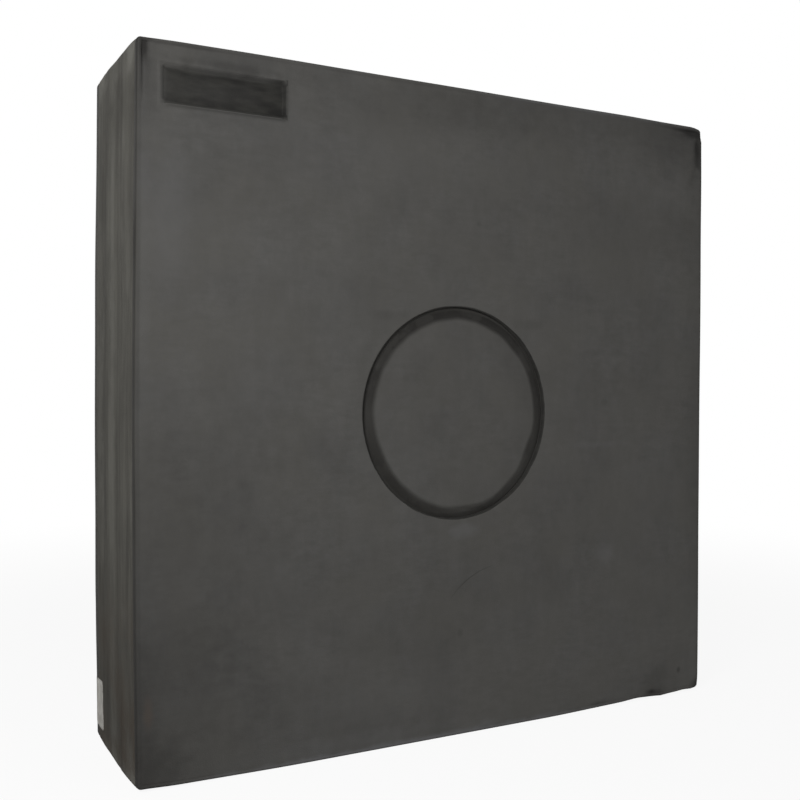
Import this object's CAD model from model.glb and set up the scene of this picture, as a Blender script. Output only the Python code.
"""Looks of an archery target boss: a bonded stack of foam layers with a round core that slides out."""

import math

import bmesh
import bpy
from mathutils import Matrix, Vector, noise


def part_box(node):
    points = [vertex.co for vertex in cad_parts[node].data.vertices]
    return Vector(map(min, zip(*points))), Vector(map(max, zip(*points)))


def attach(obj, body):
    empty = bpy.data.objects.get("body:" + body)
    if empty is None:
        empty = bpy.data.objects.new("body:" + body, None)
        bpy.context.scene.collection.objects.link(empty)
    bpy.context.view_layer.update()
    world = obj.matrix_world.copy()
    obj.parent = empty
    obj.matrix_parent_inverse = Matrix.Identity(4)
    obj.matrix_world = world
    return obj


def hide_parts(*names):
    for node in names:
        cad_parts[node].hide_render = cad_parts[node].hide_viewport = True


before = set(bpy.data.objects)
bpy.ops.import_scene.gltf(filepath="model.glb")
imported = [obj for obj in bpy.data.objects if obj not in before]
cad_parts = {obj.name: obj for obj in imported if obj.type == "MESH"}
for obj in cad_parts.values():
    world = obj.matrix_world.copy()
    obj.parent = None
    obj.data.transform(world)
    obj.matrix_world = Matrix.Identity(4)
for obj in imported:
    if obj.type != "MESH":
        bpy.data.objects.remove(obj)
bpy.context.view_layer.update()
bpy.ops.object.select_all(action="DESELECT")


# The three slabs are the body of the block: boards of closed-cell foam, sawn square, then glued and
# pressed into a stack. Each glue line holds the sawn edge in, and the foam swells out between two lines.
# The bore for the core is cut through the whole stack with a hot wire.
MM = 0.001
SIDE = 800 * MM
HALF_SIDE = SIDE / 2
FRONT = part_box("face_sheet")[0].y
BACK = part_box("back_sheet")[1].y
SEAMS = tuple(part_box(node)[1].y for node in ("face_sheet", "front_slab", "middle_slab", "rear_slab"))
AXIS_ACROSS = sum(corner.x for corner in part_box("core_face_disc")) / 2
CORNER_RADIUS = 5 * MM
CORNER_STEPS = 7
SIDE_STEPS = 98
CREST_STEPS = 5
CURVE_STEPS = 8
SLAB_SEAM = (12 * MM, 0.6 * MM)
SLAB_END = (6 * MM, 0.9 * MM)
BORE_RADIUS = 130.3 * MM
BORE_RIM = 2 * MM
BORE_RIM_STEPS = 5
BORE_GROOVE = 0.9 * MM
BORE_SIDES = 240
OVERRUN = 5 * MM
FACES_ARCHER = (math.pi / 2, 0, 0)
CREASE_ANGLE = math.radians(38)


def edit(piece):
    bpy.ops.object.select_all(action="DESELECT")
    piece.select_set(True)
    bpy.context.view_layer.objects.active = piece
    bpy.ops.object.mode_set(mode="EDIT")


def pick(piece, kind, test):
    """Selects the faces or the edges of a piece in edit mode that pass the test, and no others."""
    bpy.ops.mesh.select_mode(type=kind)
    bpy.ops.mesh.select_all(action="DESELECT")
    mesh = bmesh.from_edit_mesh(piece.data)
    for element in mesh.faces if kind == "FACE" else mesh.edges:
        if test(element):
            element.select_set(True)
    bmesh.update_edit_mesh(piece.data)


def close_up():
    """Merges doubled points, turns all faces outwards and leaves edit mode."""
    bpy.ops.mesh.select_all(action="SELECT")
    bpy.ops.mesh.remove_doubles(threshold=0.001 * MM)
    bpy.ops.mesh.normals_make_consistent(inside=False)
    bpy.ops.object.mode_set(mode="OBJECT")


def rounded_board(name, width, height, place, radius=CORNER_RADIUS, side_steps=SIDE_STEPS):
    """One face with rounded corners, turned to the archer, with many points along its straight sides."""
    bpy.ops.mesh.primitive_plane_add(size=1, location=place, rotation=FACES_ARCHER)
    board = bpy.context.active_object
    board.name = board.data.name = name
    board.scale = (width, height, 1)
    bpy.ops.object.transform_apply(location=True, rotation=True, scale=True)
    edit(board)
    bpy.ops.mesh.select_all(action="SELECT")
    bpy.ops.mesh.bevel(offset=radius, segments=CORNER_STEPS, affect="VERTICES")
    pick(board, "EDGE", lambda edge: edge.calc_length() > radius)
    bpy.ops.mesh.subdivide(number_cuts=side_steps - 1)
    return board


def thicken(depth, steps):
    """Draws the face in edit mode back into a board, in even steps along its depth."""
    bpy.ops.mesh.select_mode(type="FACE")
    bpy.ops.mesh.select_all(action="SELECT")
    for _ in range(steps):
        bpy.ops.mesh.extrude_region_move(TRANSFORM_OT_translate={"value": (0, depth / steps, 0)})
    bpy.ops.mesh.select_all(action="SELECT")
    bpy.ops.mesh.normals_make_consistent(inside=False)


def end_face(board, towards):
    """A test for the faces that lie furthest out and look towards -Y or +Y."""
    faces = bmesh.from_edit_mesh(board.data).faces
    furthest = max(face.calc_center_median().y * towards for face in faces)

    def test(face):
        near_end = face.calc_center_median().y * towards > furthest - 0.1 * MM
        return near_end and face.normal.y * towards > 0.9

    return test


def draw_in(board, towards, steps):
    """Insets the end face that looks towards -Y or +Y, once for each (inwards, outwards) step."""
    pick(board, "FACE", end_face(board, towards))
    for inwards, outwards in steps:
        bpy.ops.mesh.inset(thickness=inwards, depth=outwards, use_even_offset=True)


def valley(run, drop):
    """The inset steps of a soft half wave, from the full outline down to the glue line."""
    insets = [drop * (1 - math.cos(math.pi * step / CURVE_STEPS)) / 2 for step in range(CURVE_STEPS + 1)]
    return [(b - a, run / CURVE_STEPS) for a, b in zip(insets, insets[1:])]


def turned(name, stations, sides=BORE_SIDES):
    """A closed round piece on the core's axis, drawn through (y, radius) stations."""
    (y, radius), rest = stations[0], stations[1:]
    bpy.ops.mesh.primitive_circle_add(
        vertices=sides,
        radius=radius,
        fill_type="NGON",
        location=(AXIS_ACROSS, y, HALF_SIDE),
        rotation=FACES_ARCHER,
    )
    piece = bpy.context.active_object
    piece.name = piece.data.name = name
    bpy.ops.object.transform_apply(location=True, rotation=True, scale=True)
    edit(piece)
    bpy.ops.mesh.select_mode(type="FACE")
    bpy.ops.mesh.select_all(action="SELECT")
    for next_y, next_radius in rest:
        bpy.ops.mesh.extrude_region_move(TRANSFORM_OT_translate={"value": (0, next_y - y, 0)})
        share = next_radius / radius
        bpy.ops.transform.resize(value=(share, 1, share), center_override=(AXIS_ACROSS, next_y, HALF_SIDE))
        y, radius = next_y, next_radius
    close_up()
    return piece


def bore_cutter():
    """The round cut through the stack: rounded rims at both faces, and a fine groove at each glue line."""
    rim = [
        (BORE_RIM * (1 - math.cos(angle)), BORE_RADIUS + BORE_RIM * (1 - math.sin(angle)))
        for angle in (math.pi / 2 * step / BORE_RIM_STEPS for step in range(BORE_RIM_STEPS + 1))
    ]
    stations = [(FRONT - OVERRUN, BORE_RADIUS + BORE_RIM)]
    stations += [(FRONT + inwards, radius) for inwards, radius in rim]
    for seam in SEAMS:
        stations += [(seam - BORE_GROOVE, BORE_RADIUS), (seam, BORE_RADIUS + BORE_GROOVE)]
        stations += [(seam + BORE_GROOVE, BORE_RADIUS)]
    stations += [(BACK - inwards, radius) for inwards, radius in reversed(rim)]
    stations += [(BACK + OVERRUN, BORE_RADIUS + BORE_RIM)]
    return turned("bore_cutter", stations)


def cut(piece, cutter):
    """Takes the cutter's shape out of the piece."""
    modifier = piece.modifiers.new("cut", "BOOLEAN")
    modifier.object = cutter
    modifier.operation = "DIFFERENCE"
    modifier.solver = "EXACT"
    bpy.context.view_layer.objects.active = piece
    bpy.ops.object.modifier_apply(modifier=modifier.name)
    bpy.data.meshes.remove(cutter.data)


def ramp(value, low, high):
    """A smooth step from 0 at low to 1 at high."""
    share = min(max((value - low) / (high - low), 0), 1)
    return share * share * (3 - 2 * share)


def bell(gap, width):
    """A soft hump, 1 in its middle, that falls away to both sides."""
    return math.exp(-((gap / width) ** 2))


# The block isn't a true square. Slow waves run over its sides, lowest at the glue lines: how far in from
# an edge they reach, how high they are, how many there are to a metre, and a seed for each side
SWELL_REACH = 20 * MM
SWELL_WAVE = 1.1 * MM
WAVE_AT_SEAM = 0.25
WAVES_ALONG = 7
WAVES_DEEP = 16
LEFT_SEED, RIGHT_SEED, TOP_SEED = 3.1, 8.7, 5.3
CREST_REACH = 14 * MM
# Glue that fills the two inner glue lines near the ends of the left side
SEAM_FILL = 0.45 * MM
FILL_REACH = 40 * MM
# How far each side stands out in its middle, and how far it falls back at its ends
LEFT_BELLY = (3.1 * MM, -1.0 * MM)
RIGHT_SLACK = 1.0 * MM
RIGHT_SLACK_REACH = 100 * MM
TOP_CROWN = 2.3 * MM
TOP_SLACK = 0.9 * MM
LOW_CROWN = 2.6 * MM
LOW_SLACK = 1.7 * MM
LEFT_CORNER_REACH = 50 * MM
# Where the underside lifts and the top sinks towards their ends: from, to and how far. Small bumps lie in
# the lower front edge: middle, reach and how far up, and how far back they run
LIFTS = ((-200 * MM, -400 * MM, 2.4 * MM), (120 * MM, 310 * MM, 2.8 * MM))
LIFT_REACH = 60 * MM
TOP_SINKS = ((250 * MM, 340 * MM, 1.0 * MM), (-260 * MM, -370 * MM, 0.5 * MM))
LOW_BUMPS = ((288 * MM, 18 * MM, 1.3 * MM), (332 * MM, 10 * MM, -1.2 * MM), (374 * MM, 12 * MM, 1.3 * MM))
LOW_BUMP_END = (10 * MM, 30 * MM)
# Corners that knocks have rounded further: across, up, how far in and how wide
KNOCKED_CORNERS = ((HALF_SIDE, SIDE, 3.4 * MM, 20 * MM), (HALF_SIDE, 0, 1.8 * MM, 18 * MM))
KNOCK_EACH_WAY = 0.7


def knock(point):
    """How far a knocked corner has moved in at a point."""
    move = Vector((0, 0, 0))
    for x, z, push, reach in KNOCKED_CORNERS:
        share = 1 - ramp(abs(point.x - x) + abs(point.z - z), 0, reach)
        move += Vector((-math.copysign(push, x), 0, push if z == 0 else -push)) * (share * KNOCK_EACH_WAY)
    return move


def way_to(x, start, end):
    """From 0 at start to 1 at end, whichever way that is."""
    way = math.copysign(1, end)
    return ramp(x * way, start * way, end * way)


def swell(point):
    """How far a point of the block's sides lies off the true square: slight bellies, and slow waves."""
    crests = [ramp(abs(point.y - seam), 0, CREST_REACH) for seam in SEAMS]
    wave = SWELL_WAVE * (WAVE_AT_SEAM + (1 - WAVE_AT_SEAM) * min(crests))
    fill = SEAM_FILL * (1 - min(crests[1:3]))
    deep, high = point.y * WAVES_DEEP, point.z * WAVES_ALONG
    left = LEFT_BELLY[0] * math.sin(math.pi * point.z / SIDE) + LEFT_BELLY[1]
    left += fill * (1 - ramp(min(point.z, SIDE - point.z), 0, FILL_REACH))
    left += wave * noise.noise(Vector((LEFT_SEED, deep, high)))
    right = wave * noise.noise(Vector((RIGHT_SEED, deep, high)))
    right -= RIGHT_SLACK * ramp(point.z, SIDE - RIGHT_SLACK_REACH, SIDE)
    crown = 1 - (2 * point.y / (BACK - FRONT)) ** 4
    near_corner = 1 - ramp(point.x + HALF_SIDE, 0, LEFT_CORNER_REACH)
    slack = near_corner * (1 - crown)
    above = 0.5 * wave * noise.noise(Vector((point.x * WAVES_ALONG, deep, TOP_SEED)))
    above += TOP_CROWN * crown - TOP_SLACK * slack + fill * near_corner
    above -= sum(sink * way_to(point.x, start, end) for start, end, sink in TOP_SINKS)
    below = LOW_SLACK * slack - LOW_CROWN * crown - fill * near_corner
    below += sum(lift * way_to(point.x, start, end) for start, end, lift in LIFTS)
    bumps = sum(lift * bell(point.x - middle, reach) for middle, reach, lift in LOW_BUMPS)
    below += bumps * (1 - ramp(point.y - FRONT, *LOW_BUMP_END))
    near_left = 1 - ramp(point.x + HALF_SIDE, 0, SWELL_REACH)
    near_right = 1 - ramp(HALF_SIDE - point.x, 0, SWELL_REACH)
    near_top = 1 - ramp(SIDE - point.z, 0, SWELL_REACH)
    near_floor = 1 - ramp(point.z, 0, LIFT_REACH)
    across = near_right * right - near_left * left
    return Vector((across, 0, near_top * above + near_floor * below)) + knock(point)


def shape_points(piece, move):
    for vertex in piece.data.vertices:
        vertex.co += move(vertex.co)
    piece.data.update()


def paint(piece, attribute, share):
    """Stores a value from 0 to 1 at each point, which the finish reads."""
    layer = piece.data.attributes.new(attribute, "FLOAT", "POINT")
    layer.data.foreach_set("value", [share(vertex.co) for vertex in piece.data.vertices])


def smooth(piece):
    """Shades the piece smoothly, with flat faces kept flat and sharp edges kept sharp."""
    bpy.ops.object.select_all(action="DESELECT")
    piece.select_set(True)
    bpy.context.view_layer.objects.active = piece
    bpy.ops.object.shade_smooth_by_angle(angle=CREASE_ANGLE)
    modifier = piece.modifiers.new("even", "WEIGHTED_NORMAL")
    modifier.keep_sharp = True
    bpy.ops.object.modifier_apply(modifier=modifier.name)


def from_axis(point):
    return math.hypot(point.x - AXIS_ACROSS, point.z - HALF_SIDE)


def in_bore(point):
    return 1 if from_axis(point) < BORE_RADIUS + BORE_GROOVE + 0.1 * MM else 0


def linear(red, green, blue):
    """A colour as a screen shows it, from 0 to 255, in the shader's own scale."""
    shares = (channel / 255 for channel in (red, green, blue))
    return (*(((share + 0.055) / 1.055) ** 2.4 for share in shares), 1)


def feed(tree, value, socket):
    """Links an input to a socket, or sets it to a plain value."""
    if isinstance(value, bpy.types.NodeSocket):
        tree.links.new(value, socket)
    else:
        socket.default_value = value


def node(tree, kind, inputs=None, **settings):
    """Adds one node. Its inputs are sockets to link or plain values, by name or by place."""
    added = tree.nodes.new(kind)
    for name, value in settings.items():
        setattr(added, name, value)
    for key, value in (inputs or {}).items():
        feed(tree, value, added.inputs[key])
    return added


def calc(tree, operation, first, second=0.0):
    return node(tree, "ShaderNodeMath", {0: first, 1: second}, operation=operation).outputs[0]


def times(tree, first, second):
    return calc(tree, "MULTIPLY", first, second)


def plus(tree, first, second):
    return calc(tree, "ADD", first, second)


def minus(tree, first, second):
    return calc(tree, "SUBTRACT", first, second)


def weighed(tree, *shares):
    """Adds values up, each times its weight."""
    total = times(tree, *shares[0])
    for value, weight in shares[1:]:
        total = plus(tree, total, times(tree, value, weight))
    return total


def of_place(tree, operation, first, second=(0, 0, 0)):
    """Arithmetic with places, and the length of an arm."""
    outputs = node(tree, "ShaderNodeVectorMath", {0: first, 1: second}, operation=operation).outputs
    return outputs["Value" if operation == "LENGTH" else "Vector"]


def fade(tree, value, low, high, start=0.0, end=1.0):
    """Runs smoothly from start, where the value is low, to end, where it is high."""
    inputs = {"Value": value, "From Min": low, "From Max": high, "To Min": start, "To Max": end}
    return node(tree, "ShaderNodeMapRange", inputs, interpolation_type="SMOOTHSTEP").outputs["Result"]


def tint(tree, share, first, second):
    """Mixes two colours."""
    inputs = {"Factor": share, "A": first, "B": second}
    mixer = tree.nodes.new("ShaderNodeMix")
    mixer.data_type = "RGBA"
    for socket in mixer.inputs:
        if socket.enabled and socket.name in inputs:
            feed(tree, inputs[socket.name], socket)
    return next(socket for socket in mixer.outputs if socket.enabled)


def mottle(tree, place, scale, detail=4.0, roughness=0.55, stretch=(1, 1, 1), low=0.32, high=0.68):
    """Soft random patches, from 0 to 1."""
    spot = node(tree, "ShaderNodeMapping", {"Vector": place, "Scale": stretch}).outputs["Vector"]
    inputs = {"Vector": spot, "Scale": scale, "Detail": detail, "Roughness": roughness}
    return fade(tree, node(tree, "ShaderNodeTexNoise", inputs).outputs["Fac"], low, high)


def new_group(name, inputs, outputs):
    """An empty node group with named sockets, and its input and output nodes."""
    group = bpy.data.node_groups.new(name, "ShaderNodeTree")
    for socket, kind in inputs:
        group.interface.new_socket(name=socket, in_out="INPUT", socket_type=kind)
    for socket, kind in outputs:
        group.interface.new_socket(name=socket, in_out="OUTPUT", socket_type=kind)
    return group, group.nodes.new("NodeGroupInput"), group.nodes.new("NodeGroupOutput")


def rub_mark():
    """One soft, ragged mark on the foam: 1 at its centre, 0 outside its spread."""
    inputs = [(name, "NodeSocketVector") for name in ("Place", "Centre", "Spread")]
    inputs += [("Ragged", "NodeSocketFloat")]
    group, source, sink = new_group("rub_mark", inputs, [("Mark", "NodeSocketFloat")])
    place = source.outputs["Place"]
    away = of_place(group, "SUBTRACT", place, source.outputs["Centre"])
    away = of_place(group, "LENGTH", of_place(group, "DIVIDE", away, source.outputs["Spread"]))
    noisy = node(group, "ShaderNodeTexNoise", {"Vector": place, "Scale": 60.0, "Detail": 4.0})
    ragged = times(group, minus(group, noisy.outputs["Fac"], 0.5), source.outputs["Ragged"])
    group.links.new(fade(group, plus(group, away, ragged), 0.15, 1.0, 1.0, 0.0), sink.inputs["Mark"])
    return group


RUB_MARK = rub_mark()
# How ragged a mark's edge is at most, and the size at which it is 1: a larger mark has a smoother edge
RAGGED = 1.1
RAGGED_SIZE = 24 * MM


def start_finish(name):
    """A new material: its tree, its shader and the place of each point on the object."""
    finish = bpy.data.materials.new(name)
    finish.use_nodes = True
    tree = finish.node_tree
    shader = tree.nodes["Principled BSDF"]
    return finish, tree, shader, tree.nodes.new("ShaderNodeTexCoord").outputs["Object"]


def rub_share(tree, place, centre, spread):
    """How strongly one rub mark shows at a place. Small marks have ragged edges, large ones smooth."""
    inputs = {"Place": place, "Centre": centre, "Spread": spread}
    inputs["Ragged"] = min(RAGGED, RAGGED_SIZE / min(spread))
    return node(tree, "ShaderNodeGroup", inputs, node_tree=RUB_MARK).outputs["Mark"]


def rub(tree, place, colour, centre, spread, strength, mark_colour):
    """Lays one rub mark over the colour so far."""
    return tint(tree, times(tree, rub_share(tree, place, centre, spread), strength), colour, mark_colour)


def raise_bumps(tree, shader, height, distance):
    bump = node(tree, "ShaderNodeBump", {"Height": height, "Distance": distance})
    tree.links.new(bump.outputs["Normal"], shader.inputs["Normal"])


def point_value(tree, attribute):
    return node(tree, "ShaderNodeAttribute", attribute_name=attribute).outputs["Fac"]


# Bands that the press has left along the block's sides: depth and half width in millimetres, and strength,
# above 0 where the foam has been rubbed lighter and below 0 where it is darker
PRESS_BANDS = (
    (12, 5, -0.12),
    (46, 12, 0.16),
    (58, 4, 0.18),
    (67, 8, -0.16),
    (107, 19, 0.44),
    (141, 9, -0.3),
    (163, 5, 0.10),
    (184, 7, 0.16),
)
BAND_WANDER = 9 * MM

# Marks on the left side: depth and height of the middle and reach along both, in millimetres, and strength
# as above; how far the marks reach into the foam, and between which heights the floor's dirt fades out
SIDE_MARKS = (
    (28, 786, 26, 26, 0.42),
    (175, 794, 60, 30, 0.42),
    (84, 766, 34, 16, -0.34),
    (64, 742, 14, 26, -0.3),
    (118, 748, 22, 14, -0.22),
    (56, 700, 9, 70, 0.2),
    (106, 600, 16, 180, 0.14),
    (104, 370, 26, 300, 0.2),
    (166, 400, 18, 170, 0.2),
    (152, 300, 14, 90, 0.18),
    (75, 738, 120, 44, -0.32),
    (140, 690, 9, 70, -0.24),
    (150, 660, 16, 90, -0.2),
    (140, 470, 9, 120, -0.16),
    (30, 560, 12, 60, 0.14),
    (50, 180, 22, 22, 0.14),
    (70, 45, 12, 60, -0.42),
    (150, 70, 46, 60, -0.16),
    (112, 5, 70, 17, 0.5),
    (20, 4, 50, 22, 0.8),
    (22, 24, 52, 30, 0.26),
    (80, 200, 12, 60, -0.12),
    (167, 205, 14, 50, -0.12),
    (32, 215, 14, 44, -0.12),
    (186, 112, 10, 36, 0.2),
    (102, 62, 14, 26, -0.12),
    (15, 715, 8, 70, -0.28),
    (141, 655, 7, 70, -0.2),
    (150, 505, 9, 60, 0.16),
    (15, 300, 5, 110, 0.22),
    (100, 400, 14, 70, 0.1),
    (182, 740, 12, 30, 0.12),
    (98, 735, 16, 40, -0.1),
    (140, 640, 10, 60, -0.14),
    (55, 680, 12, 30, -0.1),
    (55, 600, 12, 34, 0.1),
    (5, 600, 8, 60, 0.12),
    (5, 300, 8, 60, 0.12),
    (20, 6, 40, 26, 0.3),
)
MARK_REACH_IN = 60 * MM
GROUND_DIRT = (60 * MM, 250 * MM)


def hot_wire_lines(tree, place):
    """The dark, smooth skin that a hot wire leaves on foam, with fine lines along the bore."""
    wire = mottle(tree, place, 1.0, detail=4, stretch=(300, 5, 300))
    return tint(tree, wire, linear(46, 45, 43), linear(60, 59, 56))


def sawn_foam():
    """The slabs' sawn edges: warm grey, streaked along the block's sides, dark in the glue lines, with
    ground dirt low down. Inside the bore the hot wire has left a darker, smoother skin with fine lines."""
    finish, tree, shader, place = start_finish("sawn_foam")
    split = node(tree, "ShaderNodeSeparateXYZ", {0: place}).outputs
    streaks = mottle(tree, place, 1.0, detail=5, stretch=(8, 95, 8))
    fine = mottle(tree, place, 1.0, detail=5, stretch=(40, 420, 40))
    patches = mottle(tree, place, 16, detail=5)
    tone = weighed(tree, (streaks, 0.45), (patches, 0.35), (fine, 0.2))
    colour = tint(tree, tone, linear(68, 66.5, 62.5), linear(91, 89.5, 84))
    gaps = [calc(tree, "ABSOLUTE", minus(tree, split["Y"], seam)) for seam in SEAMS]
    nearest = gaps[0]
    for gap in gaps[1:]:
        nearest = calc(tree, "MINIMUM", nearest, gap)
    line = times(tree, fade(tree, nearest, 0.2 * MM, 0.9 * MM, 0.5, 0.0), patches)
    colour = tint(tree, line, colour, linear(40, 39, 37))
    wander = mottle(tree, place, 5.0, detail=3, stretch=(1, 3, 1), low=0.2, high=0.8)
    depth = plus(tree, split["Y"], times(tree, minus(tree, wander, 0.5), BAND_WANDER))
    broken = mottle(tree, place, 1.0, detail=4, stretch=(9, 24, 9), low=0.3, high=0.62)
    for middle, reach, strength in PRESS_BANDS:
        off = calc(tree, "ABSOLUTE", minus(tree, depth, FRONT + middle * MM))
        band = times(tree, fade(tree, off, 0.2 * reach * MM, 1.3 * reach * MM, 1.0, 0.0), broken)
        toned = linear(104, 103, 97) if strength > 0 else linear(44, 43, 40)
        colour = tint(tree, times(tree, band, abs(strength)), colour, toned)
    for back, up, deep, tall, strength in SIDE_MARKS:
        centre, spread = (-HALF_SIDE, FRONT + back * MM, up * MM), (MARK_REACH_IN, deep * MM, tall * MM)
        toned = linear(122, 121, 115) if strength > 0 else linear(44, 42, 37)
        colour = rub(tree, place, colour, centre, spread, abs(strength), toned)
    dirt = times(tree, fade(tree, split["Z"], *GROUND_DIRT, 0.75, 0.0), patches)
    colour = tint(tree, dirt, colour, linear(66, 58, 50))
    hot_cut = point_value(tree, "bore")
    colour = tint(tree, hot_cut, colour, hot_wire_lines(tree, place))
    tree.links.new(colour, shader.inputs["Base Color"])
    tree.links.new(fade(tree, hot_cut, 0.0, 1.0, 0.82, 0.55), shader.inputs["Roughness"])
    shader.inputs["Specular IOR Level"].default_value = 0.1
    cells = node(tree, "ShaderNodeTexVoronoi", {"Vector": place, "Scale": 700.0}).outputs["Distance"]
    raise_bumps(tree, shader, weighed(tree, (fine, 0.6), (cells, 0.5), (streaks, 1.2)), 0.35 * MM)
    return finish


SAWN_FOAM = sawn_foam()

for slab_node, front_form, back_form in (
    ("front_slab", SLAB_END, SLAB_SEAM),
    ("middle_slab", SLAB_SEAM, SLAB_SEAM),
    ("rear_slab", SLAB_SEAM, SLAB_END),
):
    low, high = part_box(slab_node)
    crest_front = low.y + front_form[0]
    crest_back = high.y - back_form[0]
    slab = rounded_board(f"foam_{slab_node}", SIDE, SIDE, (0, crest_front, HALF_SIDE))
    thicken(crest_back - crest_front, CREST_STEPS)
    draw_in(slab, -1, valley(*front_form))
    draw_in(slab, 1, valley(*back_form))
    close_up()
    cut(slab, bore_cutter())
    shape_points(slab, swell)
    paint(slab, "bore", in_bore)
    smooth(slab)
    slab.data.materials.append(SAWN_FOAM)
    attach(slab, "block")
    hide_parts(slab_node)


# The facing and the backing sheet are thin boards of denser foam with a smooth, slightly waxy skin, glued
# over the two ends of the stack. Their outer edge is rolled over by heat, which leaves a bead with a
# crease inside it. A plain panel is pressed hot into the facing sheet near its upper left corner.
FRONT_EDGE = (3 * MM, 3 * MM)
BACK_EDGE = (3 * MM, 3 * MM)
EDGE_RING = 4.4 * MM
SHEET_INNER = (1.5 * MM, 0.8 * MM)
NEAR_EDGE_LINES = tuple(inset * MM for inset in (5.1, 5.8, 6.6, 7.5, 8.5, 9.7, 11.2, 13, 15.5, 18.5, 22))
PANEL_SIZE = (143 * MM, 43 * MM)
PANEL_FROM_LEFT = 26 * MM
PANEL_FROM_TOP = 25 * MM
PANEL_DEPTH = 4 * MM
PANEL_WALL = 5 * MM
PANEL_WALL_STEPS = 8
PANEL_CORNER = 6 * MM
PANEL_SIDE_STEPS = 24
PANEL_FLOOR_STEP = 4 * MM
PANEL_LEFT = PANEL_FROM_LEFT - HALF_SIDE
PANEL_RIGHT = PANEL_LEFT + PANEL_SIZE[0]
PANEL_TOP = SIDE - PANEL_FROM_TOP
PANEL_LOW = PANEL_TOP - PANEL_SIZE[1]
PANEL_LINES = tuple(away * MM for away in (0.7, 1.5, 2.4, 3.6, 5.5))
# The foam that the stamp has pushed up round the panel: how high, how far out and how wide
PANEL_LIP = (0.4 * MM, 1.2 * MM, 1.6 * MM)
PANEL_LIP_REACH = 8 * MM
# The floor's ripples, and how deep the panel is at its left end and where it has its full depth
PANEL_RIPPLE = 0.35 * MM
PANEL_LEFT_SHARE = 0.5
PANEL_FULL_DEPTH = 34 * MM
# The crease inside the bead, and how far behind the face what is pressed into it fades out
BEAD_CREASE = 4.4 * MM
BEAD_CREASE_WIDTH = 1.3 * MM
BEAD_CREASE_DEPTH = 0.25 * MM
SHEET_FACE_DEPTH = (3 * MM, 7 * MM)
# The sheet keeps its shape this far round the bore, and its colour a little less far
BORE_CLEAR = 20 * MM
RIM_REACH = 7 * MM

# Where the edge is pressed in: which side, from where to where along it, how far in from the side the
# deepest line lies, how wide it is and how deep, in millimetres. A dent fades out over a share at each end
FRONT_PRESSES = (
    ("left", 722, 815, 6.4, 1.3, 1.2),
    ("left", 762, 815, 9.5, 3.4, 1.2),
    ("top", 290, 415, 7.0, 1.6, 0.5),
    ("top", 333, 415, 8.2, 2.7, 2.0),
    ("top", 360, 415, 11.5, 4.2, 1.8),
    ("right", 735, 796, 9.0, 4.8, 1.9),
    ("bottom", 300, 326, 6.5, 3.2, 1.3),
    ("bottom", 200, 240, 5.0, 3.0, 0.8),
    ("right", -15, 20, 4.0, 3.0, 0.9),
)
BACK_PRESSES = (
    ("left", 120, 190, 4.0, 4.0, 1.8),
    ("top", -300, -235, 6.0, 3.5, 1.6),
    ("right", 540, 600, 4.0, 4.5, 2.2),
    ("bottom", -60, 20, 6.0, 3.5, 1.4),
    ("bottom", 360, 415, 8.0, 4.0, 2.0),
)
DENT_TAPER = 0.45
# The grid on a sheet's face is as fine as the steps along its outline
PITCH = (SIDE - 2 * CORNER_RADIUS) / SIDE_STEPS


def shoulder(run, drop):
    """The inset steps of a quarter ellipse, from the full outline to the end face."""
    angles = [math.pi / 2 * (1 - step / CURVE_STEPS) for step in range(CURVE_STEPS + 1)]
    points = [(drop * (1 - math.sin(angle)), run * math.cos(angle)) for angle in angles]
    return [(b[0] - a[0], b[1] - a[1]) for a, b in zip(points, points[1:])]


def rule(board, towards, across, up):
    """Cuts the flat end face that looks towards -Y or +Y along lines at given places across and up."""
    at_end = end_face(board, towards)
    pick(board, "FACE", lambda face: at_end(face) and face.calc_area() > PITCH * PITCH)
    bpy.ops.mesh.hide(unselected=True)
    cuts = [((x, 0, 0), (1, 0, 0)) for x in across] + [((0, 0, z), (0, 0, 1)) for z in up]
    for place, normal in cuts:
        bpy.ops.mesh.select_all(action="SELECT")
        bpy.ops.mesh.bisect(plane_co=place, plane_no=normal, threshold=0.01 * MM)
    bpy.ops.mesh.reveal()


def panel_gap(point):
    """How far a point lies outside the panel's rim, or less than 0 inside it."""
    across = max(PANEL_LEFT - point.x, point.x - PANEL_RIGHT)
    up = max(PANEL_LOW - point.z, point.z - PANEL_TOP)
    return math.hypot(max(across, 0), max(up, 0)) if max(across, up) > 0 else max(across, up)


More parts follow.
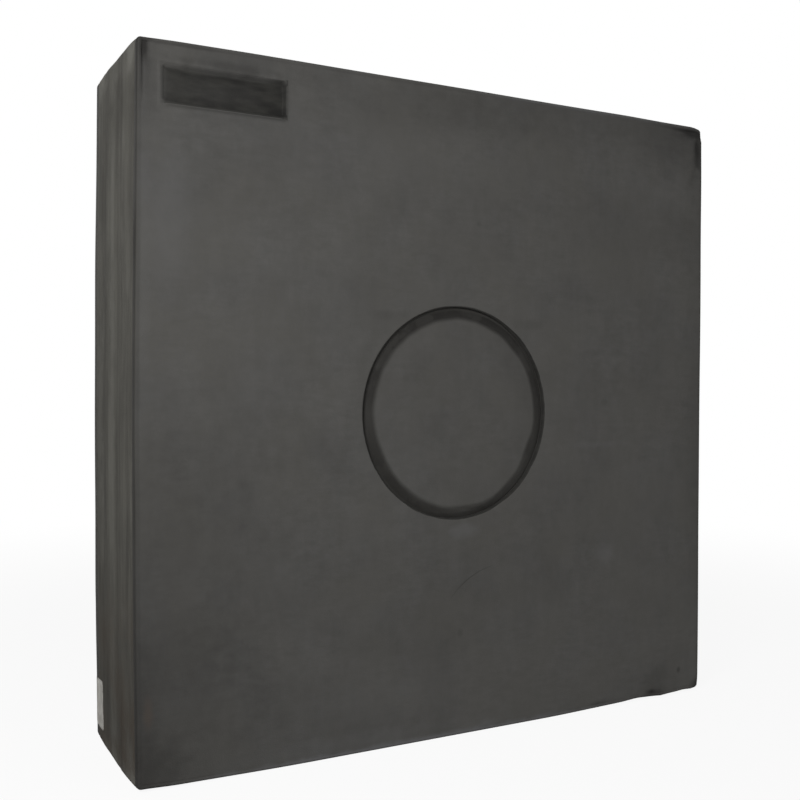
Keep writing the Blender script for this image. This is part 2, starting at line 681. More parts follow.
def panel_cutter():
    """The hot stamp: its wall rolls over at the rim, runs down and rolls out again to a flat floor."""
    width, height = PANEL_SIZE
    place = ((PANEL_LEFT + PANEL_RIGHT) / 2, FRONT - OVERRUN, (PANEL_LOW + PANEL_TOP) / 2)
    stamp = rounded_board("stamp", width, height, place, radius=PANEL_CORNER, side_steps=PANEL_SIDE_STEPS)
    thicken(OVERRUN, 1)
    turns = [math.pi * step / PANEL_WALL_STEPS for step in range(PANEL_WALL_STEPS + 1)]
    depths = [PANEL_DEPTH * (1 - math.cos(turn)) / 2 for turn in turns]
    draw_in(stamp, 1, [(PANEL_WALL / PANEL_WALL_STEPS, b - a) for a, b in zip(depths, depths[1:])])
    step = PANEL_FLOOR_STEP
    across = [PANEL_LEFT + step * (count + 1) for count in range(int(width / step))]
    up = [PANEL_LOW + step * (count + 1) for count in range(int(height / step))]
    rule(stamp, 1, across, up)
    close_up()
    floor_y = FRONT + PANEL_DEPTH - 0.01 * MM
    for vertex in stamp.data.vertices:
        at = vertex.co
        share = ramp(at.x - PANEL_LEFT, PANEL_WALL, PANEL_FULL_DEPTH)
        deep = PANEL_LEFT_SHARE + (1 - PANEL_LEFT_SHARE) * share
        if FRONT < at.y <= floor_y:
            at.y = FRONT + (at.y - FRONT) * deep
        elif at.y > floor_y:
            at.y = FRONT + PANEL_DEPTH * deep
            inside = -panel_gap(at)
            ripple = noise.noise(Vector((at.x * 38, 1.7, at.z * 70))) + 0.5 * noise.noise(at * 140)
            at.y += PANEL_RIPPLE * ripple * ramp(inside, PANEL_WALL, 2 * PANEL_WALL)
    return stamp


def along_and_in(point, side):
    """Where a point lies along one side of the block's face, and how far in from that side."""
    return {
        "left": (point.z, point.x + HALF_SIDE),
        "right": (point.z, HALF_SIDE - point.x),
        "top": (point.x, SIDE - point.z),
        "bottom": (point.x, point.z),
    }[side]


def from_edge(point):
    """How far a point lies in from the nearest side of the block."""
    return min(along_and_in(point, side)[1] for side in ("left", "right", "top", "bottom"))


def pressed_in(point, presses, seed):
    """How deep the face is pressed in at a point, over the bead's crease and over each dent."""
    uneven = 0.6 + 0.8 * noise.noise(Vector((point.x * 9, seed, point.z * 9)))
    depth = BEAD_CREASE_DEPTH * uneven * bell(from_edge(point) - BEAD_CREASE, BEAD_CREASE_WIDTH)
    for side, start, end, centre, width, deepest in presses:
        along, inside = along_and_in(point, side)
        taper = (end - start) * MM * DENT_TAPER
        reach = ramp(along, start * MM, start * MM + taper) * (1 - ramp(along, end * MM - taper, end * MM))
        if reach > 0:
            wobble = 1 + 0.5 * noise.noise(Vector((point.x * 70, seed, point.z * 70)))
            depth += deepest * MM * reach * bell(inside - centre * MM, width * MM) * wobble
    return depth


def sheet_move(point, face, inward, presses, seed):
    """Moves a point of a sheet with the swelling sides, and presses its outer face in."""
    move = swell(point)
    near_face = 1 - ramp(abs(point.y - face), *SHEET_FACE_DEPTH)
    if near_face > 0 and from_axis(point) > BORE_RADIUS + BORE_CLEAR:
        move.y += inward * near_face * pressed_in(point, presses, seed)
        gap = panel_gap(point)
        if face == FRONT and -0.2 * MM < gap < PANEL_LIP_REACH:
            height, away, width = PANEL_LIP
            move.y -= height * bell(gap - away, width) * near_face
    return move


def distance_from(tree, place, centre):
    """How far a point lies from a line along the block's depth."""
    flat = of_place(tree, "MULTIPLY", place, (1, 0, 1))
    return of_place(tree, "LENGTH", of_place(tree, "SUBTRACT", flat, centre))


def foam_grain():
    """The skin of closed-cell foam: broad clouds, fine wipe marks that run level, specks and cells."""
    sockets = [(name, "NodeSocketFloat") for name in ("Clouds", "Wipes", "Height")]
    group, source, sink = new_group("foam_grain", [("Place", "NodeSocketVector")], sockets)
    place = source.outputs["Place"]
    broad = mottle(group, place, 6.5, detail=3)
    middling = mottle(group, place, 21, detail=3, roughness=0.5)
    small = mottle(group, place, 95, detail=4, roughness=0.6)
    clouds = weighed(group, (broad, 0.5), (middling, 0.28), (small, 0.22))
    level = mottle(group, place, 40, detail=5, roughness=0.65, stretch=(1, 1, 2.8))
    upright = mottle(group, place, 26, detail=3, stretch=(3, 3, 1))
    patches = mottle(group, place, 9, detail=2)
    level = times(group, level, plus(group, times(group, patches, 0.8), 0.2))
    wipes = weighed(group, (level, 0.7), (upright, 0.3))
    specks = node(group, "ShaderNodeTexNoise", {"Vector": place, "Scale": 620.0, "Detail": 3.0})
    cells = node(group, "ShaderNodeTexVoronoi", {"Vector": place, "Scale": 560.0})
    height = weighed(group, (specks.outputs["Fac"], 0.6), (cells.outputs["Distance"], 0.4), (wipes, 0.5))
    for name, value in (("Clouds", clouds), ("Wipes", wipes), ("Height", height)):
        group.links.new(value, sink.inputs[name])
    return group


GRAIN = foam_grain()


def skin_colour(tree, place, dull, bright):
    """Mottled foam skin, and the height of its grain."""
    grain = node(tree, "ShaderNodeGroup", {"Place": place}, node_tree=GRAIN).outputs
    tone = weighed(tree, (grain["Clouds"], 0.62), (grain["Wipes"], 0.38))
    hue = times(tree, mottle(tree, place, 13, detail=4), 0.4)
    return tint(tree, hue, tint(tree, tone, dull, bright), linear(78, 76.5, 72.5)), grain


# Marks that handling has left on the facing sheet: centre across and up and spread across and up, all in
# millimetres, and strength
GRIME_MARKS = (
    (-393, 792, 10, 17, 0.5),
    (-385, 20, 55, 60, 0.42),
    (-360, 60, 160, 150, 0.16),
    (-400, 190, 250, 300, 0.22),
    (-400, 90, 34, 130, 0.26),
    (-300, 792, 150, 34, 0.26),
    (-388, 752, 26, 60, 0.22),
    (-290, 700, 150, 44, 0.1),
    (-50, 770, 220, 60, 0.16),
    (380, 640, 90, 80, 0.14),
    (352, 768, 100, 70, 0.2),
    (300, 810, 520, 90, 0.23),
    (-240, 655, 120, 70, 0.08),
    (270, 650, 200, 60, 0.08),
    (374, 786, 44, 8, 0.5),
    (391, 758, 16, 46, 0.5),
    (388, 718, 22, 40, 0.22),
    (-391, 770, 9, 34, 0.2),
    (312, 5, 32, 8, 0.5),
    (320, 26, 38, 32, 0.22),
    (394, 9, 14, 13, 0.45),
    (362, 34, 5, 6, 0.45),
    (390, 400, 28, 380, 0.16),
    (-100, 518, 40, 9, 0.16),
    (100, 512, 34, 10, 0.14),
    (226, 413, 8, 8, 0.16),
    (25, 635, 6, 6, 0.2),
    (0, 127, 6, 7, 0.2),
    (-300, 360, 140, 110, 0.08),
    (-386, 745, 36, 60, 0.12),
    (60, 770, 180, 50, 0.08),
    (-300, 780, 80, 9, 0.34),
    (-300, 722, 80, 12, 0.1),
    (-345, 796, 50, 4, 0.3),
    (-340, 150, 120, 60, 0.1),
)
DUST_MARKS = (
    (-366, 610, 38, 120, 0.2),
    (-392, 560, 10, 230, 0.1),
    (190, 798, 240, 5, 0.4),
    (-150, 15, 190, 15, 0.14),
    (-160, 700, 220, 60, 0.06),
    (-60, 2, 420, 7, 0.75),
    (-110, 60, 140, 70, 0.08),
    (4, 254, 30, 14, 0.3),
    (212, 356, 70, 6, 0.13),
    (228, 208, 22, 22, 0.2),
    (40, 8, 26, 9, 0.35),
)
EARTH_MARKS = ((-387, 84, 8, 24, 0.5),)
MARK_DEPTH = 40 * MM
SCRATCH_CENTRE = (70 * MM, 0, 98 * MM)
SCRATCH_RADIUS = 111 * MM
SCRATCH_MIDDLE = (14 * MM, FRONT, 190 * MM)
SCRATCH_REACH = (50 * MM, MARK_DEPTH, 42 * MM)

# How worn a sheet's edge is and how soiled its dents are; the back's are cleaner
WORN = {"face_sheet": 1.0, "back_sheet": 0.1}
SOILED = {"face_sheet": 1.0, "back_sheet": 0.35}
# Wear lies on the sheet's side. It starts at the face, is weaker further back and ends on the rolled edge,
# and the bead is only dulled: in each, from and to, and a share where one stands
WEAR_REACH = 8 * MM
SIDE_WEAR = (-0.8 * MM, 1.4 * MM)
INNER_WEAR = (5 * MM, 10 * MM, 0.25)
EDGE_WEAR = (2.5 * MM, 5 * MM)
BEAD_WEAR = (4.5 * MM, 6.5 * MM, 0.2)
# There is more of it higher up, and less along the top edge and at the foot
WEAR_UP = (0.48, (280 * MM, 450 * MM, 0.32), (620 * MM, 700 * MM, 0.12))
TOP_CLEAN = (7 * MM, 3 * MM, 0.9)
TOP_CLEAN_FROM = (6 * MM, 30 * MM)
FOOT_WEAR = (0.1, 4 * MM, 30 * MM)


def worn_edge(point, face):
    """How far handling and the hot rolling have darkened a sheet's side and rolled edge."""
    inwards = from_edge(point)
    if inwards > WEAR_REACH:
        return 0
    behind = abs(point.y - face)
    side = ramp(behind, *SIDE_WEAR) * (1 - INNER_WEAR[2] * ramp(behind, *INNER_WEAR[:2]))
    side *= 1 - ramp(inwards, *EDGE_WEAR)
    bead = BEAD_WEAR[2] * (1 - ramp(inwards, *BEAD_WEAR[:2]))
    patchy = WEAR_UP[0] + sum(more * ramp(point.z, low, high) for low, high, more in WEAR_UP[1:])
    patchy += 0.26 * noise.noise(Vector((point.x * 14, behind * 40, point.z * 14)))
    clean = TOP_CLEAN[2] * ramp(point.z, SIDE - TOP_CLEAN[0], SIDE - TOP_CLEAN[1])
    patchy *= 1 - clean * ramp(point.x + HALF_SIDE, *TOP_CLEAN_FROM)
    foot = FOOT_WEAR[0] + (1 - FOOT_WEAR[0]) * ramp(point.z, *FOOT_WEAR[1:])
    return min(max(max(side, bead) * patchy, 0), 1) * foot


# A dent of this depth is soiled fully
DENT_FULL = 1.6 * MM


def soiled_dent(point, face, presses, seed):
    """How much dirt has been pressed into the dents of a sheet's outer face."""
    if abs(point.y - face) > SHEET_FACE_DEPTH[1] or from_axis(point) < BORE_RADIUS + RIM_REACH:
        return 0
    return min(pressed_in(point, presses, seed) / DENT_FULL, 1)


# The hot wire has glazed the sheet at the bore's rim. Dust lies in the crevice and hides the glaze, both
# deep in it and, on the side up and to the left, nearer the face too; there the glaze is also weaker
BORE_GLAZE = 0.8
GLAZE_EDGE = (BORE_RADIUS + 1.2 * MM, BORE_RADIUS + 1.7 * MM)
GLAZE_WANDER = 0.7 * MM
CREVICE_DUST = linear(94, 93, 90)
DEEP_DUST = (BACK - 7.5 * MM, BACK - 4 * MM)
SHALLOW_DUST = (BACK - 2.4 * MM, BACK - 0.4 * MM)
DUST_TURN = (HALF_SIDE - 90 * MM, HALF_SIDE + 110 * MM)
GLAZE_TURN = (HALF_SIDE + 40 * MM, HALF_SIDE + 130 * MM)


def waxy_skin():
    """The sheets' skin: charcoal grey, mottled and wiped, dark where heat has glazed it or dirt has been
    pressed in, dusty in a few places, with one fine curved scratch."""
    finish, tree, shader, place = start_finish("waxy_skin")
    colour, grain = skin_colour(tree, place, linear(70.5, 69.7, 67.7), linear(88.5, 87.8, 86))
    grime, dust, earth = linear(40, 39, 38), linear(98, 98, 99), linear(76, 68, 62)
    for marks, mark_colour in ((GRIME_MARKS, grime), (DUST_MARKS, dust), (EARTH_MARKS, earth)):
        for across, up, wide, tall, strength in marks:
            centre, spread = (across * MM, FRONT, up * MM), (wide * MM, MARK_DEPTH, tall * MM)
            colour = rub(tree, place, colour, centre, spread, strength, mark_colour)
    split = node(tree, "ShaderNodeSeparateXYZ", {0: place}).outputs
    off_line = minus(tree, distance_from(tree, place, SCRATCH_CENTRE), SCRATCH_RADIUS)
    line = fade(tree, calc(tree, "ABSOLUTE", off_line), 0.2 * MM, 1.1 * MM, 1.0, 0.0)
    arc = rub_share(tree, place, SCRATCH_MIDDLE, SCRATCH_REACH)
    scratch = times(tree, times(tree, line, arc), calc(tree, "LESS_THAN", split["Y"], 0.0))
    colour = tint(tree, times(tree, scratch, 0.45), colour, linear(52, 51, 49))
    colour = tint(tree, times(tree, point_value(tree, "dirt"), 0.8), colour, linear(34, 33, 32))
    colour = tint(tree, times(tree, point_value(tree, "worn"), 0.9), colour, linear(40, 39, 37))
    glaze = point_value(tree, "glaze")
    smear = mottle(tree, place, 30, detail=4, stretch=(1, 1, 3))
    glazed = tint(tree, smear, linear(27.5, 27, 26), linear(43, 42.5, 40))
    colour = tint(tree, glaze, colour, glazed)
    uneven = times(tree, minus(tree, mottle(tree, place, 40, detail=3), 0.5), GLAZE_WANDER)
    from_bore = plus(tree, distance_from(tree, place, (AXIS_ACROSS, 0, HALF_SIDE)), uneven)
    burnt = fade(tree, from_bore, *GLAZE_EDGE, BORE_GLAZE, 0.0)
    up_left = minus(tree, split["Z"], split["X"])
    off_middle = calc(tree, "ABSOLUTE", split["Y"])
    dusty = times(
        tree,
        fade(tree, off_middle, *SHALLOW_DUST, 1.0, 0.0),
        fade(tree, up_left, *DUST_TURN, 0.1, 1.0),
    )
    dusty = calc(tree, "MAXIMUM", dusty, fade(tree, off_middle, *DEEP_DUST, 0.8, 0.0))
    burnt = times(tree, burnt, fade(tree, up_left, *GLAZE_TURN, 1.0, 0.7))
    colour = tint(tree, burnt, colour, tint(tree, dusty, glazed, CREVICE_DUST))
    tree.links.new(colour, shader.inputs["Base Color"])
    rough = fade(tree, grain["Clouds"], 0.2, 0.8, 0.68, 0.8)
    tree.links.new(minus(tree, rough, times(tree, glaze, 0.1)), shader.inputs["Roughness"])
    shader.inputs["Specular IOR Level"].default_value = 0.08
    slow = mottle(tree, place, 11, detail=2)
    height = weighed(tree, (grain["Height"], 1.0), (slow, 3.0), (scratch, -1.2))
    raise_bumps(tree, shader, height, 0.16 * MM)
    return finish


# Heat has darkened the panel: its floor, more at the foot of the walls and to the right, less at the left
# end. Its top, left and lower walls are cleaner. Outside it, the right and the lower rim are shaded
PANEL_HEAT = 0.83
PANEL_FOOT = (6 * MM, 17 * MM, 0.11)
PANEL_RIGHT_HEAT = (90 * MM, 140 * MM, 0.25)
PANEL_LEFT_HEAT = (4 * MM, 30 * MM, 0.89)
TOP_WALL = (2.2 * MM, 6 * MM)
TOP_WALL_RIGHT = (112 * MM, 138 * MM, 0.6)
LEFT_WALL = (7 * MM, 0.9)
LOW_WALL = (1 * MM, 4 * MM, 0.2)
RIGHT_RIM = (0.6 * MM, 1.8 * MM, 0.8)
LOW_RIM = (5 * MM, 0.55)
LOW_RIM_START = 14 * MM
OTHER_RIM = (2 * MM, 0.12)
RIM_HEAT_REACH = 6 * MM


def heat_mark(point, face, inner):
    """How much heat has darkened the facing sheet in the panel and round it."""
    gap = panel_gap(point)
    if face != FRONT or gap > RIM_HEAT_REACH or point.y > inner - 1 * MM:
        return 0
    from_left = point.x - PANEL_LEFT
    if gap > -0.1 * MM:
        if point.x > PANEL_RIGHT:
            return RIGHT_RIM[2] * (1 - ramp(gap, *RIGHT_RIM[:2]))
        shaded = LOW_RIM[1] * ramp(from_left, 0, LOW_RIM_START) if point.z < PANEL_LOW else 0
        shaded *= 1 - ramp(gap, 0, LOW_RIM[0])
        return max(shaded, OTHER_RIM[1] * (1 - ramp(gap, 0, OTHER_RIM[0])))
    from_rim = min(PANEL_TOP - point.z, point.z - PANEL_LOW, PANEL_RIGHT - point.x)
    heat = PANEL_HEAT + 0.1 * noise.noise(Vector((point.x * 26, 4.4, point.z * 44)))
    heat += PANEL_FOOT[2] * (1 - ramp(from_rim, *PANEL_FOOT[:2]))
    heat += PANEL_RIGHT_HEAT[2] * ramp(from_left, *PANEL_RIGHT_HEAT[:2])
    heat *= PANEL_LEFT_HEAT[2] + (1 - PANEL_LEFT_HEAT[2]) * ramp(from_left, *PANEL_LEFT_HEAT[:2])
    top = 1 - ramp(PANEL_TOP - point.z, *TOP_WALL)
    top *= 1 - TOP_WALL_RIGHT[2] * ramp(from_left, *TOP_WALL_RIGHT[:2])
    left = LEFT_WALL[1] * (1 - ramp(from_left, 0, LEFT_WALL[0]))
    low = LOW_WALL[2] * (1 - ramp(point.z - PANEL_LOW, *LOW_WALL[:2]))
    return min(heat, 1) * (1 - max(top, left, low))


WAXY_SKIN = waxy_skin()

for sheet_node, face, edge, inward, presses, seed in (
    ("face_sheet", FRONT, FRONT_EDGE, 1, FRONT_PRESSES, 2.4),
    ("back_sheet", BACK, BACK_EDGE, -1, BACK_PRESSES, 6.8),
):
    low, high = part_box(sheet_node)
    crest_front = face + edge[0] if inward > 0 else low.y + SHEET_INNER[0]
    crest_back = high.y - SHEET_INNER[0] if inward > 0 else face - edge[0]
    sheet = rounded_board(f"foam_{sheet_node}", SIDE, SIDE, (0, crest_front, HALF_SIDE))
    thicken(crest_back - crest_front, 2)
    draw_in(sheet, -inward, [*shoulder(*edge), (EDGE_RING - edge[1], 0)])
    grid = [step * PITCH - HALF_SIDE + CORNER_RADIUS for step in range(SIDE_STEPS + 1)]
    grid += [side * (HALF_SIDE - inset) for inset in NEAR_EDGE_LINES for side in (-1, 1)]
    up_grid = [line + HALF_SIDE for line in grid]
    if sheet_node == "face_sheet":
        grid += [PANEL_LEFT - away for away in PANEL_LINES] + [PANEL_RIGHT + away for away in PANEL_LINES]
        up_grid += [PANEL_LOW - away for away in PANEL_LINES] + [PANEL_TOP + away for away in PANEL_LINES]
    rule(sheet, -inward, grid, up_grid)
    draw_in(sheet, inward, shoulder(*SHEET_INNER))
    close_up()
    cut(sheet, bore_cutter())
    if sheet_node == "face_sheet":
        cut(sheet, panel_cutter())
    paint(sheet, "dirt", lambda point: SOILED[sheet_node] * soiled_dent(point, face, presses, seed))
    paint(sheet, "worn", lambda point: WORN[sheet_node] * worn_edge(point, face))
    paint(sheet, "glaze", lambda point: heat_mark(point, face, high.y))
    shape_points(sheet, lambda point: sheet_move(point, face, inward, presses, seed))
    smooth(sheet)
    sheet.data.materials.append(WAXY_SKIN)
    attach(sheet, "block")
    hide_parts(sheet_node)


# The stock label is a strip of coated paper, stuck by hand and a little askew low on the left side, over
# the rear slab and the backing sheet. It follows the foam and is rubbed at its edges. It carries no print.
LABEL_SIZE = (35.5 * MM, 59.3 * MM)
LABEL_CORNER = 4 * MM
LABEL_THICKNESS = 0.25 * MM
LABEL_LIFT = 0.12 * MM
LABEL_TILT = math.radians(3)
LABEL_MIDDLE = (BACK - 1.6 * MM - LABEL_SIZE[0] / 2, 17.3 * MM + LABEL_SIZE[1] / 2)
LABEL_DIP = 0.5 * MM
LABEL_BRIDGE = (-2 * MM, 1 * MM)
LABEL_POINTS = (28, 44)
LABEL_RUBBED = 3 * MM


def side_inset(y):
    """How far the paper lies inside the square at a depth, over the slab, the sheet and its rolled edge.
    It doesn't follow the glue line all the way in, and bridges it towards the sheet."""
    if y > BACK - BACK_EDGE[0]:
        share = (y - BACK + BACK_EDGE[0]) / BACK_EDGE[0]
        return BACK_EDGE[1] * (1 - math.sqrt(max(1 - share * share, 0)))
    if y < SEAMS[2] + SLAB_SEAM[0]:
        share = 1 - max(y - SEAMS[2], 0) / SLAB_SEAM[0]
        return SLAB_SEAM[1] * (1 - math.cos(math.pi * share)) / 2
    share = 1 - min(abs(y - SEAMS[3]) / SLAB_END[0], 1)
    dip = min(SLAB_END[1] * (1 - math.cos(math.pi * share)) / 2, LABEL_DIP)
    return dip * (1 - ramp(y - SEAMS[3], *LABEL_BRIDGE))


def label_paper():
    """Coated paper, off-white gone grey, with rubbed edges and a few smudges."""
    finish, tree, shader, place = start_finish("label_paper")
    smudges = mottle(tree, place, 90, detail=5)
    fibres = mottle(tree, place, 1.0, detail=3, stretch=(300, 900, 300))
    colour = tint(tree, smudges, linear(178, 175, 168), linear(204, 202, 196))
    colour = tint(tree, times(tree, fibres, 0.12), colour, linear(150, 147, 139))
    worn = times(tree, point_value(tree, "rubbed"), fade(tree, smudges, 0.2, 0.8, 0.9, 0.35))
    colour = tint(tree, worn, colour, linear(128, 125, 118))
    tree.links.new(colour, shader.inputs["Base Color"])
    tree.links.new(fade(tree, smudges, 0.0, 1.0, 0.42, 0.58), shader.inputs["Roughness"])
    raise_bumps(tree, shader, plus(tree, fibres, smudges), 0.03 * MM)
    return finish


bpy.ops.mesh.primitive_grid_add(x_subdivisions=LABEL_POINTS[0], y_subdivisions=LABEL_POINTS[1], size=1)
label = bpy.context.active_object
label.name = label.data.name = "stock_label_paper"
half_wide, half_tall = LABEL_SIZE[0] / 2, LABEL_SIZE[1] / 2
rubbed = []
for vertex in label.data.vertices:
    across, up = vertex.co.x * LABEL_SIZE[0], vertex.co.y * LABEL_SIZE[1]
    corner_across = abs(across) - (half_wide - LABEL_CORNER)
    corner_up = abs(up) - (half_tall - LABEL_CORNER)
    if corner_across > 0 and corner_up > 0:
        shrink = max(corner_across, corner_up) / math.hypot(corner_across, corner_up)
        across = math.copysign(half_wide - LABEL_CORNER + corner_across * shrink, across)
        up = math.copysign(half_tall - LABEL_CORNER + corner_up * shrink, up)
    edge_gap = min(half_wide - abs(across), half_tall - abs(up))
    rubbed.append(1 - ramp(edge_gap, 0, LABEL_RUBBED))
    y = LABEL_MIDDLE[0] + across * math.cos(LABEL_TILT) + up * math.sin(LABEL_TILT)
    z = LABEL_MIDDLE[1] - across * math.sin(LABEL_TILT) + up * math.cos(LABEL_TILT)
    spot = Vector((-HALF_SIDE, y, z))
    vertex.co = spot + swell(spot) + Vector((side_inset(y) - LABEL_LIFT - LABEL_THICKNESS, 0, 0))
layer = label.data.attributes.new("rubbed", "FLOAT", "POINT")
layer.data.foreach_set("value", rubbed)
edit(label)
bpy.ops.mesh.select_all(action="SELECT")
bpy.ops.mesh.normals_make_consistent(inside=False)
bpy.ops.object.mode_set(mode="OBJECT")
if label.data.polygons[0].normal.x > 0:
    label.data.flip_normals()
thickness = label.modifiers.new("paper", "SOLIDIFY")
thickness.thickness = LABEL_THICKNESS
thickness.offset = -1
bpy.ops.object.modifier_apply(modifier=thickness.name)
smooth(label)
label.data.materials.append(label_paper())
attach(label, "block")
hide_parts("stock_label")


# The core is cut from a stack like the block's, so it has one disc for each layer. The hot wire has melted
# the rim of its two outer discs to a dark, glazed and lumpy shoulder, and left fine lines along its wall.
CORE_RADIUS = 130.2 * MM
CORE_GROOVE = 0.9 * MM
SHOULDER_WIDTH = 18 * MM
SHOULDER_DEPTH = 7 * MM
SHOULDER_POWER = 2.2
ROLL_STEPS = 14
SHOULDER_DARK = 14.9 * MM
SHOULDER_BLUR = 3.6 * MM
SHOULDER_SETTLE = 8 * MM
SHOULDER_RIPPLE = 0.5 * MM
FACE_RINGS = tuple(radius * MM for radius in (12, 24, 36, 48, 60, 72, 82, 90, 97, 102, 105, 107.5, 110))
# Where the shoulder runs further in or less far: the angle, from +X towards +Z, how far and how wide
SHOULDER_LUMPS = (
    (337, 4.4, 13),
    (315, 0.8, 9),
    (6, 2.6, 13),
    (25, 1.2, 12),
    (46, 2.8, 12),
    (67, 1.9, 10),
    (204, 1.2, 13),
    (180, -1.2, 12),
    (157, -0.6, 12),
    (135, -0.8, 16),
    (90, -0.4, 12),
    (255, -0.8, 10),
    (292, -3.0, 13),
)
# The face darkens gently towards the shoulder, most on one side: the angle, how much, how wide, how far in
SHOULDER_HAZE = (4, 0.26, 62, 46 * MM)


def near_turn(point, centre, width):
    """1 in one direction from the core's axis, in degrees from +X towards +Z, and less to both sides."""
    turn = math.degrees(math.atan2(point.z - HALF_SIDE, point.x - AXIS_ACROSS))
    return bell((turn - centre + 180) % 360 - 180, width)


def shoulder_reach(point):
    """How much longer the melted shoulder is than its mean, in the direction of a point."""
    reach = sum(extra * MM * near_turn(point, centre, width) for centre, extra, width in SHOULDER_LUMPS)
    turn = math.atan2(point.z - HALF_SIDE, point.x - AXIS_ACROSS)
    ring = Vector((math.cos(turn) * 4, math.sin(turn) * 4, point.y * 30))
    return reach + 0.9 * MM * noise.noise(ring) + 0.5 * MM * noise.noise(ring * 3.2)


def melt(point):
    """Moves a point of an outer disc's shoulder in or out, and makes its slope uneven."""
    radius = from_axis(point)
    outer_face = min(abs(point.y - FRONT), abs(point.y - BACK))
    if radius < CORE_RADIUS - SHOULDER_WIDTH - SHOULDER_SETTLE or outer_face > SHOULDER_DEPTH + 0.1 * MM:
        return Vector((0, 0, 0))
    share = min(max((CORE_RADIUS - radius) / SHOULDER_WIDTH, 0), 1)
    outwards = Vector((point.x - AXIS_ACROSS, 0, point.z - HALF_SIDE)).normalized()
    settle = 1 - ramp(CORE_RADIUS - SHOULDER_WIDTH - radius, 0, SHOULDER_SETTLE)
    move = outwards * (-shoulder_reach(point) * share * settle)
    bulge = math.sin(math.pi * share) if share < 1 else 0
    ripple = noise.noise(Vector((point.x * 45, radius * 260, point.z * 45)))
    move.y += math.copysign(SHOULDER_RIPPLE, -point.y) * bulge * ripple
    return move


def on_shoulder(point):
    """From 0 on the disc's flat face to 1 on its glazed shoulder and wall."""
    middle = CORE_RADIUS - SHOULDER_DARK - shoulder_reach(point)
    centre, most, width, reach = SHOULDER_HAZE
    haze = most * near_turn(point, centre, width) * ramp(from_axis(point), middle - reach, middle)
    return max(haze, ramp(from_axis(point), middle - SHOULDER_BLUR, middle + SHOULDER_BLUR))


def on_wall(point):
    """1 on the straight wall behind the shoulder, and 0 elsewhere."""
    outer_face = min(abs(point.y - FRONT), abs(point.y - BACK))
    straight = outer_face > SHOULDER_DEPTH + 0.5 * MM
    return 1 if straight and from_axis(point) > CORE_RADIUS - 0.2 * MM else 0


# Where fine grey ash has stayed on the shoulder: the angle, how much and how wide
ASH_MARKS = ((316, 0.55, 30), (264, 0.6, 24), (0, 0.25, 26), (45, 0.1, 20), (186, 0.4, 24))
# Ash also settles at the foot of the shoulder: how much, how much more on which side, and where
FOOT_ASH = (0.75, 0.1, 45)
FOOT_ASH_REACH = (5 * MM, 1.5 * MM)


def ash(point):
    """How much ash lies on the shoulder at a point."""
    share = sum(most * near_turn(point, centre, width) for centre, most, width in ASH_MARKS)
    uneven = 1 + 0.5 * noise.noise(Vector((point.x * 30, 9.1, point.z * 30)))
    mean, more, side = FOOT_ASH
    turn = math.atan2(point.z - HALF_SIDE, point.x - AXIS_ACROSS)
    foot = mean + more * math.cos(turn - math.radians(side))
    foot *= ramp(from_axis(point), CORE_RADIUS - FOOT_ASH_REACH[0], CORE_RADIUS - FOOT_ASH_REACH[1])
    return min(max(share * uneven, foot), 1)


def core_skin():
    """The core's face, as the block's, and its glazed shoulder with fine streaks that run round it."""
    finish, tree, shader, place = start_finish("core_skin")
    colour, grain = skin_colour(tree, place, linear(70.5, 69.7, 67.7), linear(88, 87.3, 85.5))
    glaze = point_value(tree, "shoulder")
    streaks = mottle(tree, place, 18, detail=4)
    round_it = node(tree, "ShaderNodeCombineXYZ", {0: times(tree, glaze, 9.0), 1: streaks}).outputs[0]
    inputs = {"Vector": round_it, "Scale": 1.6, "Detail": 4.0}
    lines = node(tree, "ShaderNodeTexNoise", inputs).outputs["Fac"]
    burnt = tint(tree, fade(tree, lines, 0.35, 0.7), linear(35, 34, 32.5), linear(48, 47, 45))
    burnt = tint(tree, point_value(tree, "ash"), burnt, linear(68, 67, 64.5))
    colour = tint(tree, glaze, colour, burnt)
    wall = fade(tree, point_value(tree, "wall"), 0.0, 1.0)
    colour = tint(tree, wall, colour, hot_wire_lines(tree, place))
    tree.links.new(colour, shader.inputs["Base Color"])
    rough = fade(tree, grain["Clouds"], 0.2, 0.8, 0.68, 0.8)
    tree.links.new(minus(tree, rough, times(tree, glaze, 0.08)), shader.inputs["Roughness"])
    shader.inputs["Specular IOR Level"].default_value = 0.08
    slow = mottle(tree, place, 11, detail=2)
    height = weighed(tree, (grain["Height"], 1.0), (slow, 3.0), (times(tree, lines, glaze), 2.0))
    raise_bumps(tree, shader, height, 0.16 * MM)
    return finish


def hot_cut_foam():
    """The wall of the core: foam cut by a hot wire, dark and smooth, with fine lines along the core."""
    finish, tree, shader, place = start_finish("hot_cut_foam")
    wire = mottle(tree, place, 1.0, detail=4, stretch=(300, 5, 300))
    patches = mottle(tree, place, 22, detail=4)
    tone = weighed(tree, (wire, 0.6), (patches, 0.4))
    colour = tint(tree, tone, linear(46, 45, 43), linear(62, 61, 58))
    tree.links.new(colour, shader.inputs["Base Color"])
    tree.links.new(fade(tree, tone, 0.0, 1.0, 0.48, 0.62), shader.inputs["Roughness"])
    shader.inputs["Specular IOR Level"].default_value = 0.15
    raise_bumps(tree, shader, tone, 0.15 * MM)
    return finish


CORE_SKIN = core_skin()
HOT_CUT_FOAM = hot_cut_foam()

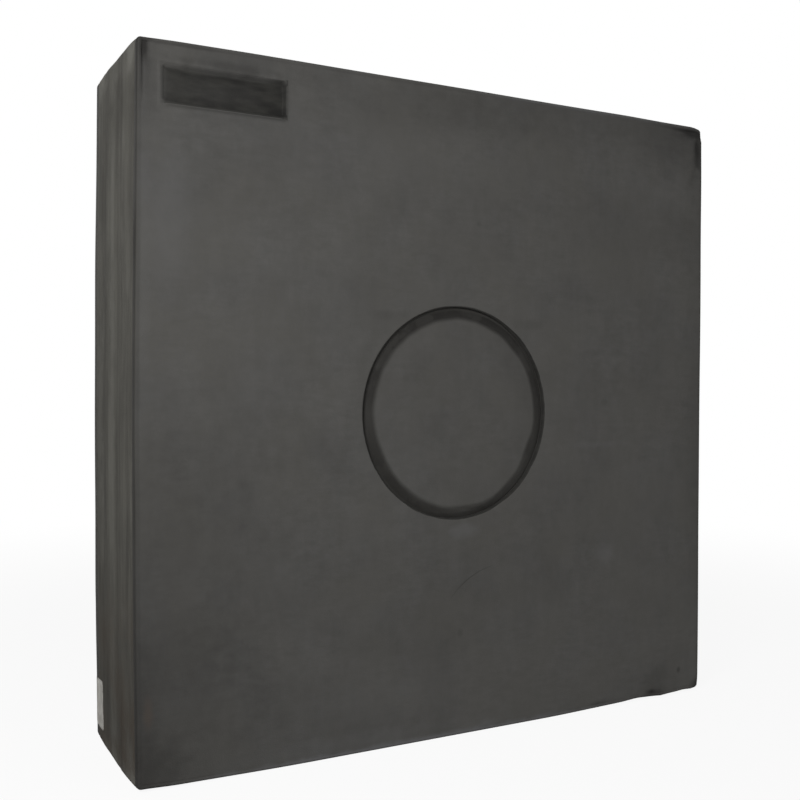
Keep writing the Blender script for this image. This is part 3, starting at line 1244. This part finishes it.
DISCS = ("core_face_disc", "core_front_disc", "core_middle_disc", "core_rear_disc", "core_back_disc")
for disc_node in DISCS:
    low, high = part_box(disc_node)
    groove = [(CORE_GROOVE * (1 - share), CORE_RADIUS - CORE_GROOVE * share) for share in (1, 0.3, 0)]
    rolls = [step / ROLL_STEPS for step in range(ROLL_STEPS + 1)]
    rolled = [
        (SHOULDER_DEPTH * roll**SHOULDER_POWER, CORE_RADIUS - SHOULDER_WIDTH * (1 - roll))
        for roll in rolls
    ]
    rings = [(0, radius) for radius in FACE_RINGS]
    hidden = [(0, FACE_RINGS[0]), *groove]
    from_front = rings + rolled if disc_node == "core_face_disc" else hidden
    from_back = rings + rolled if disc_node == "core_back_disc" else hidden
    stations = [(low.y + inwards, radius) for inwards, radius in from_front]
    stations += [(high.y - inwards, radius) for inwards, radius in reversed(from_back)]
    disc = turned(f"foam_{disc_node}", stations)
    if disc_node in ("core_face_disc", "core_back_disc"):
        paint(disc, "wall", on_wall)
        shape_points(disc, melt)
        paint(disc, "shoulder", on_shoulder)
        paint(disc, "ash", ash)
        disc.data.materials.append(CORE_SKIN)
    else:
        disc.data.materials.append(HOT_CUT_FOAM)
    smooth(disc)
    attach(disc, "core")
    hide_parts(disc_node)


# The studio: a white floor that keeps the block's shadow and fades into a white background, and large soft
# lamps. The camera stands to the left, just above half the block's height, and sees front and left side.
FLOOR_SIZE = 60
FLOOR_FADE = (0.7, 2.2)
FLOOR_FADE_START = 0.91
FLOOR_SEEN = (0.9, 0.9, 0.9, 1)
FLOOR_LIT = (0.3, 0.3, 0.3, 1)
AMBIENT = 0.19
# Name, place, aim, size and power
LAMPS = (
    ("key", (-1.1, -0.9, 0.98), (0, 0, 0.45), 0.7, 14.0),
    ("side", (-1.5, 1.2, 1.1), (0, 0, 0.4), 0.8, 3.6),
    ("fill", (1.0, -2.8, 0.7), (0, 0, 0.35), 1.6, 29.9),
)
LENS = 45.769
SENSOR = 36
CAMERA_PLACE = Vector((-0.66200, -1.17135, 0.43471))
CAMERA_YAW = math.radians(28.290)
CAMERA_PITCH = math.radians(-0.870)
CAMERA_ROLL = math.radians(0.215)

bpy.ops.mesh.primitive_plane_add(size=FLOOR_SIZE, location=(0, 0, 0))
floor = bpy.context.active_object
floor.name = floor.data.name = "studio_floor"
paper, tree, shader, place = start_finish("studio_floor")
seen = node(tree, "ShaderNodeLightPath").outputs["Is Camera Ray"]
tree.links.new(tint(tree, seen, FLOOR_LIT, FLOOR_SEEN), shader.inputs["Base Color"])
shader.inputs["Roughness"].default_value = 0.9
shader.inputs["Specular IOR Level"].default_value = 0.0
white = node(tree, "ShaderNodeEmission", {"Color": (1, 1, 1, 1), "Strength": 1.0})
away = fade(tree, of_place(tree, "LENGTH", place), *FLOOR_FADE, FLOOR_FADE_START, 1.0)
inputs = {0: times(tree, away, seen), 1: shader.outputs[0], 2: white.outputs[0]}
mixed = node(tree, "ShaderNodeMixShader", inputs)
tree.links.new(mixed.outputs[0], tree.nodes["Material Output"].inputs["Surface"])
floor.data.materials.append(paper)

world = bpy.data.worlds.new("studio")
bpy.context.scene.world = world
world.use_nodes = True
tree = world.node_tree
path = node(tree, "ShaderNodeLightPath").outputs
seen = calc(tree, "MAXIMUM", path["Is Camera Ray"], path["Is Transmission Ray"])
seen = calc(tree, "MAXIMUM", seen, path["Is Glossy Ray"])
strength = fade(tree, seen, 0.0, 1.0, AMBIENT, 1.0)
background = tree.nodes["Background"]
background.inputs["Color"].default_value = (1, 1, 1, 1)
tree.links.new(strength, background.inputs["Strength"])

for name, place, aim, size, power in LAMPS:
    bpy.ops.object.light_add(type="AREA", location=place)
    lamp = bpy.context.active_object
    lamp.name = f"lamp_{name}"
    lamp.data.shape = "DISK"
    lamp.data.size = size
    lamp.data.energy = power
    lamp.rotation_euler = (Vector(aim) - Vector(place)).to_track_quat("-Z", "Y").to_euler()

forward = Vector((
    math.sin(CAMERA_YAW) * math.cos(CAMERA_PITCH),
    math.cos(CAMERA_YAW) * math.cos(CAMERA_PITCH),
    math.sin(CAMERA_PITCH),
))
level = forward.cross(Vector((0, 0, 1))).normalized()
upright = level.cross(forward)
right = math.cos(CAMERA_ROLL) * level + math.sin(CAMERA_ROLL) * upright
up = math.cos(CAMERA_ROLL) * upright - math.sin(CAMERA_ROLL) * level
bpy.ops.object.camera_add(location=CAMERA_PLACE)
camera = bpy.context.active_object
camera.name = "camera"
camera.rotation_euler = Matrix((right, up, -forward)).transposed().to_euler()
camera.data.lens = LENS
camera.data.sensor_width = SENSOR
bpy.context.scene.camera = camera
bpy.context.scene.view_settings.view_transform = "Standard"
